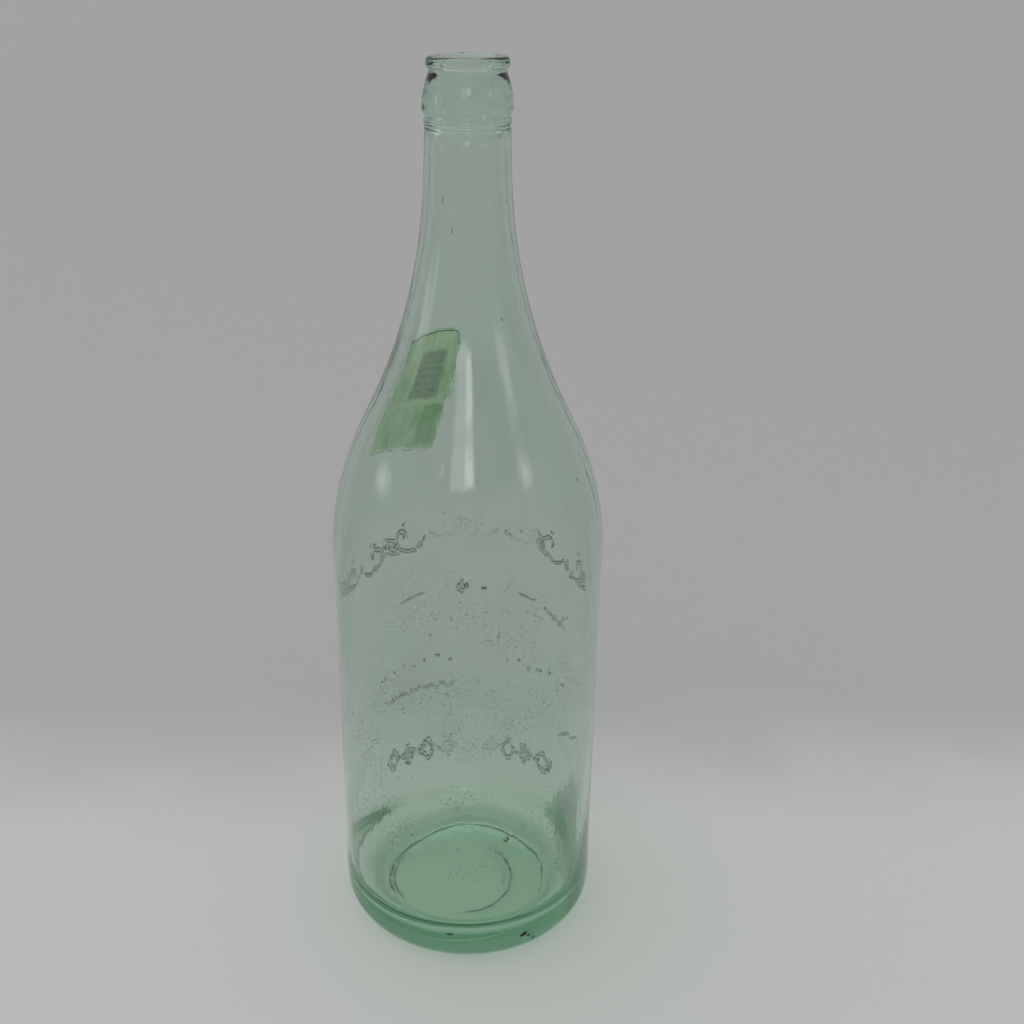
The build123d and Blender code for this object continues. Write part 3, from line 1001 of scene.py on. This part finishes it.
GUM_PALE, GUM_YELLOW, GUM_PASSES = (0.98, 0.97, 0.92, 1), (0.94, 0.92, 0.8, 1), (0.98, 0.975, 0.95, 1)
GUM_STRETCH, GUM_ROUGHNESS, GUM_RELIEF = (240, 240, 40), (0.05, 0.2), 0.00005
GUM_YELLOW_LEVELS, GUM_ROUGH_LEVELS = (0.35, 0.7), (0.3, 0.7)


def gum_material():
    """Dried, yellowed label gum with brush streaks."""
    shader = Shader("dried_label_gum", IOR=1.5, Transmission_Weight=1.0)
    streaks = shader.noise(1.0, 3, shader.place(GUM_STRETCH))
    shader.link(shader.mix(shader.ramp(streaks, *GUM_YELLOW_LEVELS), GUM_PALE, GUM_YELLOW), "Base Color")
    shader.link(shader.ramp(streaks, *GUM_ROUGH_LEVELS, *GUM_ROUGHNESS), "Roughness")
    shader.bump(streaks, GUM_RELIEF)
    shader.let_light_through(GUM_PASSES)
    return shader.material


def make_label():
    """The gum film and the paper over it."""
    spread = sheet_points(GUM_MARGIN, GUM_LOW_MARGIN, GUM_TORN)
    film = layer("label_gum_film", spread, GUM_GAP, 0.9 * GUM_THICKNESS, gum_material())
    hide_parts("label_gum")
    flat = sheet_points(0.0, 0.0, 1.0)
    lift = CREASES(np.column_stack((*flat, np.zeros_like(flat[0]))))
    under = GUM_THICKNESS + CREASE_HEIGHT * np.clip(lift - CREASE_FROM, 0, 1)
    over = under + PAPER_THICKNESS
    paper = layer("label_paper_sheet", flat, under, over, label_material())
    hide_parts("shoulder_label")


# ---------------------------------------------------------------- flecks of dirt, and painted shade in the grooves under the base
# Each fleck: azimuth, height, half width and half height. On the lip it has its radius for its height.
HEEL_FLECKS = (
    (154.2, 10.9, 1.3, 1.0), (151.6, 9.6, 0.6, 0.5), (149.1, 7.4, 0.7, 0.4), (-172.2, 14.8, 1.2, 0.4),
)
LIP_FLECKS = ((-9, 10.2, 0.9, 0.35), (4, 9.9, 0.5, 0.3), (150, 10.4, 0.4, 0.25))
FLECK_THICKNESS, FLECK_LUMPS = 0.22, Waves(seed=8, count=9, shortest=5, longest=22, stretch=1)
# The grime colours also serve as painted shade for the dark ribbons in the base grooves.
GRIME_AND_SHADE_DARK, GRIME_AND_SHADE_PALE, GRIME_AND_SHADE_SCALE = (0.01, 0.009, 0.007, 1), (0.05, 0.045, 0.035, 1), 2500
GRIME_RELIEF, GRIME_RELIEF_SCALE = 0.0001, 4000


def fleck(middle, across, up, outward, half_width, half_height):
    """A low ragged lump on a surface with those three directions."""
    points, faces = ball((0, 0, 0), (1, 1, 1), hollow=False)
    lumpy = 1 + 0.9 * FLECK_LUMPS(points * 12)
    sides = np.outer(points[:, 0] * lumpy * half_width, across)
    sides += np.outer(points[:, 1] * lumpy * half_height, up)
    return middle + sides + np.outer(points[:, 2] * FLECK_THICKNESS, outward), faces


def groove_shade_ribbon(middle, radius, squareness, first, last, half_width, seed):
    """A dark ribbon of painted shade in a groove under the base, for the dark line the groove shows: thin
    and ragged, along an arc between two polar angles.
    """
    steps = int(abs(last - first) / 1.5)
    angles = np.radians(np.linspace(first, last, steps + 1))
    reach = radius * (1 + squareness * np.cos(4 * angles))
    line = np.column_stack((middle[0] + reach * np.cos(angles), middle[1] + reach * np.sin(angles)))
    uneven = Waves(seed=seed, count=7, shortest=3, longest=24, stretch=1)(np.column_stack((line, 0 * reach)))
    ends = np.sin(pi * np.linspace(0, 1, steps + 1)) ** 0.4
    widths = half_width * np.clip(0.75 + 0.9 * uneven, 0.2, 1.4) * ends + 0.02
    outward = np.column_stack((np.cos(angles), np.sin(angles)))
    rims = []
    for side, drop in ((-1, 0.03), (1, 0.03), (1, 0.1), (-1, 0.1)):
        flat = line + side * widths[:, None] * outward
        under = np.interp(np.hypot(*flat.T), profile[UNDERSIDE_ROWS, 0], profile[UNDERSIDE_ROWS, 1])
        rims.append(np.column_stack((flat, np.maximum(under - drop, 0.004 + 0.05 * (drop < 0.05)))))
    count = steps + 1
    faces = []
    for rim in range(4):
        low, high = rim * count, (rim + 1) % 4 * count
        faces += [[low + step, low + step + 1, high + step + 1, high + step] for step in range(steps)]
    faces += [[0, count, 2 * count, 3 * count], [steps + rim * count for rim in (3, 2, 1, 0)]]
    return np.vstack(rims), faces


# Dark ribbons of painted shade in the base grooves: what they follow, the first and last polar angle, and
# half their width.
GROOVE_SHADE_LINES = (
    (SCAR_MIDDLE, SCAR_RADIUS, 0.0, 52, -88, 0.42, 31),
    (SCAR_MIDDLE, SCAR_RADIUS - 2.6, 0.0, 20, -22, 0.22, 32),
    ((0, 0), PLATE_SEAM_RADIUS, PLATE_SEAM_SQUARENESS, 205, 88, 0.55, 33),
    ((0, 0), PLATE_SEAM_RADIUS - 1.6, PLATE_SEAM_SQUARENESS, 212, 150, 0.3, 34),
    ((0, 0), PLATE_SEAM_RADIUS, PLATE_SEAM_SQUARENESS, 86, -22, 0.5, 35),
)


def heel_fleck(azimuth, height, half_width, half_height):
    """A fleck on the side of the glass."""
    middle, above = on_glass(np.full(2, azimuth), np.array((height, height + 0.5)), 0)
    up = (above - middle) / np.linalg.norm(above - middle)
    across = np.array((cos(radians(azimuth)), -sin(radians(azimuth)), 0))
    return fleck(middle, across, up, np.cross(across, up), half_width, half_height)


def lip_fleck(azimuth, radius, half_width, half_depth):
    """A fleck on the top of the lip."""
    away = np.array((sin(radians(azimuth)), cos(radians(azimuth)), 0))
    across = np.array((away[1], -away[0], 0))
    middle = radius * away + np.array((0, 0, TOTAL_HEIGHT - 1.2 * FLECK_THICKNESS))
    return fleck(middle, across, away, np.array((0, 0, 1)), half_width, half_depth)


def make_flecks():
    """Dark grime on the heel and on the lip's edge, and dark ribbons of painted shade in the grooves under
    the base.
    """
    flecks = [heel_fleck(*place) for place in HEEL_FLECKS] + [lip_fleck(*place) for place in LIP_FLECKS]
    points, faces = joined(flecks + [groove_shade_ribbon(*line) for line in GROOVE_SHADE_LINES])
    shader = Shader("dark_grime_and_shade", Roughness=0.85)
    shader.link(shader.mix(shader.noise(GRIME_AND_SHADE_SCALE), GRIME_AND_SHADE_DARK, GRIME_AND_SHADE_PALE), "Base Color")
    shader.bump(shader.noise(GRIME_RELIEF_SCALE), GRIME_RELIEF)
    new_piece("grime_flecks_and_groove_shade", points, faces, shader.material)


# ---------------------------------------------------------------- the studio
FLOOR_HALF_SIZE = 15.0
# The far grey and the falloff edge are painted shade, for the light that dims away behind the bottle.
FLOOR_NEAR, FLOOR_FAR_SHADED, FLOOR_DUST = (0.73, 0.73, 0.715, 1), (0.545, 0.545, 0.545, 1), (0.45, 0.45, 0.43, 1)
SHADE_FALLOFF_EDGE, SHADE_FALLOFF_WANDER, SHADE_WOBBLE_SCALE, SHADE_WOBBLE_LEVELS = (0.02, 0.14), (-0.012, 0.012), 9, (0.3, 0.7)
DUST_SCALE, DUST_LEVELS, DUST_SHARE = 420, (0.74, 0.8), 0.12


def make_floor():
    """A wide pale floor with painted shade: its colour falls off to a slightly darker grey behind the
    bottle, where less light reaches.
    """
    mesh = bpy.data.meshes.new("studio_floor")
    half = FLOOR_HALF_SIZE
    corners = [(-half, -half, 0), (half, -half, 0), (half, half, 0), (-half, half, 0)]
    mesh.from_pydata(corners, [], [(0, 1, 2, 3)])
    floor = bpy.data.objects.new("studio_floor", mesh)
    bpy.context.scene.collection.objects.link(floor)
    shader = Shader("pale_studio_floor", Roughness=0.8, Specular_IOR_Level=0.2)
    # Painted shade: the floor's colour darkens away from the camera along a wandering edge.
    shade_wobble = shader.ramp(shader.noise(SHADE_WOBBLE_SCALE, 4), *SHADE_WOBBLE_LEVELS, *SHADE_FALLOFF_WANDER)
    depth = shader.math("ADD", shader.parts(shader.place())["Y"], shade_wobble)
    colour = shader.mix(shader.ramp(depth, *SHADE_FALLOFF_EDGE), FLOOR_NEAR, FLOOR_FAR_SHADED)
    dust = shader.ramp(shader.noise(DUST_SCALE, 2), *DUST_LEVELS, 0.0, DUST_SHARE)
    shader.link(shader.mix(dust, colour, FLOOR_DUST), "Base Color")
    mesh.materials.append(shader.material)


# How bright the room is from one direction to another: the two directions along an axis and their levels.
DEPTH_LEVELS, SIDE_LEVELS = (-0.55, 0.15, 0.2, 0.38), (-0.9, 0.9, 1.35, 0.4)
WALL_LEVELS = (-0.3, 0.4, 0.47, 0.37)
OVERHEAD_EDGE, OVERHEAD_LEVEL, BACKDROP_EDGE = (0.25, 0.9), 0.95, (0.24, 0.42)
ROOM_COLOUR = (0.985, 1.0, 0.99, 1)


def make_world():
    """A soft grey room: a pale wall all round, darker above it on one side and brighter overhead."""
    world = bpy.data.worlds.new("soft_room")
    bpy.context.scene.world = world
    world.use_nodes = True
    nodes = Nodes(world.node_tree)
    toward = nodes.parts(nodes.node("ShaderNodeTexCoord")["Generated"])
    depth = nodes.ramp(toward["Y"], *DEPTH_LEVELS)
    overhead = nodes.ramp(toward["Z"], *OVERHEAD_EDGE, depth, OVERHEAD_LEVEL)
    room = nodes.times(overhead, nodes.ramp(toward["X"], *SIDE_LEVELS, "LINEAR"))
    wall = nodes.ramp(toward["Y"], *WALL_LEVELS, "LINEAR")
    level = nodes.ramp(toward["Z"], *BACKDROP_EDGE, wall, room)
    background = world.node_tree.nodes["Background"]
    world.node_tree.links.new(level, background.inputs["Strength"])
    background.inputs["Color"].default_value = ROOM_COLOUR


# Soft lights, from the bottle: name, degrees to the right of the camera, elevation, distance, width, height,
# level, and how much of each side fades out.
LIGHTS = (
    ("bright_strip", 1.5, 25, 1.5, 0.26, 0.36, 2.7, 0.3),
    ("wide_window", -9.5, 24.5, 1.5, 0.44, 0.36, 1.1, 0.12),
    ("right_window", 60, 18, 1.5, 0.40, 0.42, 2.0, 0.5),
    ("left_window", -27, 24, 1.5, 0.16, 0.18, 1.2, 0.5),
    ("far_left_window", -88, 7, 1.5, 0.5, 0.3, 1.5, 0.4),
)
LIGHT_AIM = 0.19


def soften(light, fade):
    """Fades a rectangular light out towards its sides."""
    light.use_nodes = True
    nodes = Nodes(light.node_tree)
    place = nodes.parts(nodes.node("ShaderNodeTexCoord")["UV"])
    level = 1.0
    for axis in "XY":
        from_middle = nodes.math("ABSOLUTE", nodes.math("SUBTRACT", place[axis], 0.5))
        level = nodes.ramp(from_middle, 0.5 - fade, 0.5, level, 0.0)
    light.node_tree.links.new(level, light.node_tree.nodes["Emission"].inputs["Strength"])


def make_lights():
    """Rectangular lights that face the bottle. A level is the radiance of the middle of the light's face."""
    aim = Vector((0, 0, LIGHT_AIM))
    for name, to_right, elevation, distance, width, height, level, fade in LIGHTS:
        light = bpy.data.lights.new(name, "AREA")
        light.shape, light.size, light.size_y = "RECTANGLE", width, height
        light.energy = level * pi * width * height
        soften(light, fade)
        flat, turn = cos(radians(elevation)), radians(to_right)
        toward = Vector((sin(turn) * flat, -cos(turn) * flat, sin(radians(elevation))))
        lamp = bpy.data.objects.new(name, light)
        lamp.location = aim + distance * toward
        lamp.rotation_euler = toward.to_track_quat("Z", "Y").to_euler()
        bpy.context.scene.collection.objects.link(lamp)


def make_camera():
    """The photograph's viewpoint: a little above the mouth, looking down at the bottle."""
    camera = bpy.data.cameras.new("photo_camera")
    camera.lens, camera.sensor_width = 45, 36
    camera.shift_x = 0.0432
    camera.clip_start = 0.01
    viewer = bpy.data.objects.new("photo_camera", camera)
    viewer.location = (0, -0.3976, 0.3370)
    viewer.rotation_euler = (radians(90 - 24.25), 0, 0)
    bpy.context.scene.collection.objects.link(viewer)
    bpy.context.scene.camera = viewer


make_camera()
make_world()
make_lights()
make_floor()
make_glass()
make_label()
make_flecks()
bpy.context.scene.view_settings.view_transform = "Standard"
bpy.context.scene.cycles.max_bounces = 24
bpy.context.scene.cycles.glossy_bounces = 16
bpy.context.scene.cycles.transmission_bounces = 24
bpy.context.scene.cycles.transparent_max_bounces = 24
